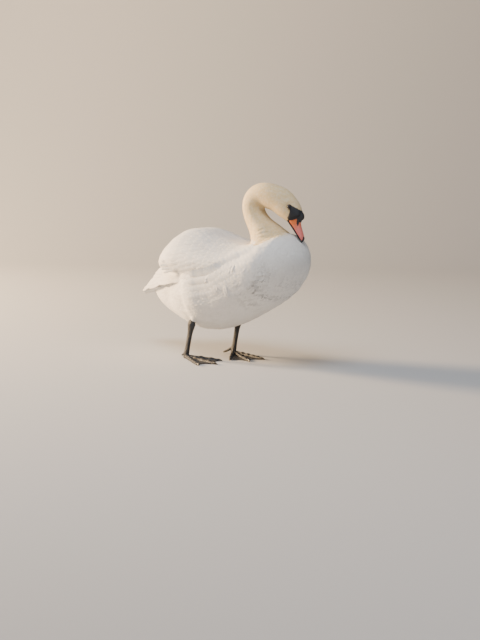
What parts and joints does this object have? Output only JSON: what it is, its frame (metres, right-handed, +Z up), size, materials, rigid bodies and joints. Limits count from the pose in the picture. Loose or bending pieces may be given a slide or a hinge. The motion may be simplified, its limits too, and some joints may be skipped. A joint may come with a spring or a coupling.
{
  "type": "mute swan",
  "caption": "Life-size mute swan standing on both feet, neck drawn back in a bend, bill held down before the breast.",
  "frame": {"origin": "on the floor, under the middle of the bird's box", "axes": "+X forward along the trunk, +Y to the bird's left, +Z up"},
  "size_m": [0.6946, 0.332, 0.5881],
  "materials": {
    "plumage": "soft matt feathers, small and scaled on the breast and belly, smooth and domed on the wings",
    "neck_plumage": "fine matt plumage, stained cream to buff on the head and the upper neck",
    "flight_feather": "stiffer vanes with a faint sheen",
    "bill_orange": "smooth horn, orange at the base and pinker towards the tip",
    "bill_black": "black horn and bare skin, softly glossy",
    "leg_skin": "dark grey scaled skin with thin webs",
    "claw": "dark horn, softly glossy",
    "eye": "dark brown, wet and glossy"
  },
  "bodies": {
    "root": {"trunk": "plumage", "neck_lower": "neck_plumage", "neck_upper": "neck_plumage", "head": "neck_plumage", "eye_right": "eye", "eye_left": "eye", "bill_knob": "bill_black", "bill_nail": "bill_black", "bill_upper": "bill_orange", "bill_lower": "bill_black", "wing_right": "plumage", "wing_left": "plumage", "wing_tip_right": "flight_feather", "wing_tip_left": "flight_feather", "tail": "flight_feather", "claw_right_inner": "claw", "claw_right_middle": "claw", "claw_right_outer": "claw", "shank_right": "plumage", "foot_right": "leg_skin", "tarsus_right": "leg_skin", "claw_left_inner": "claw", "claw_left_middle": "claw", "claw_left_outer": "claw", "shank_left": "plumage", "foot_left": "leg_skin", "tarsus_left": "leg_skin"}
  },
  "joints": []
}
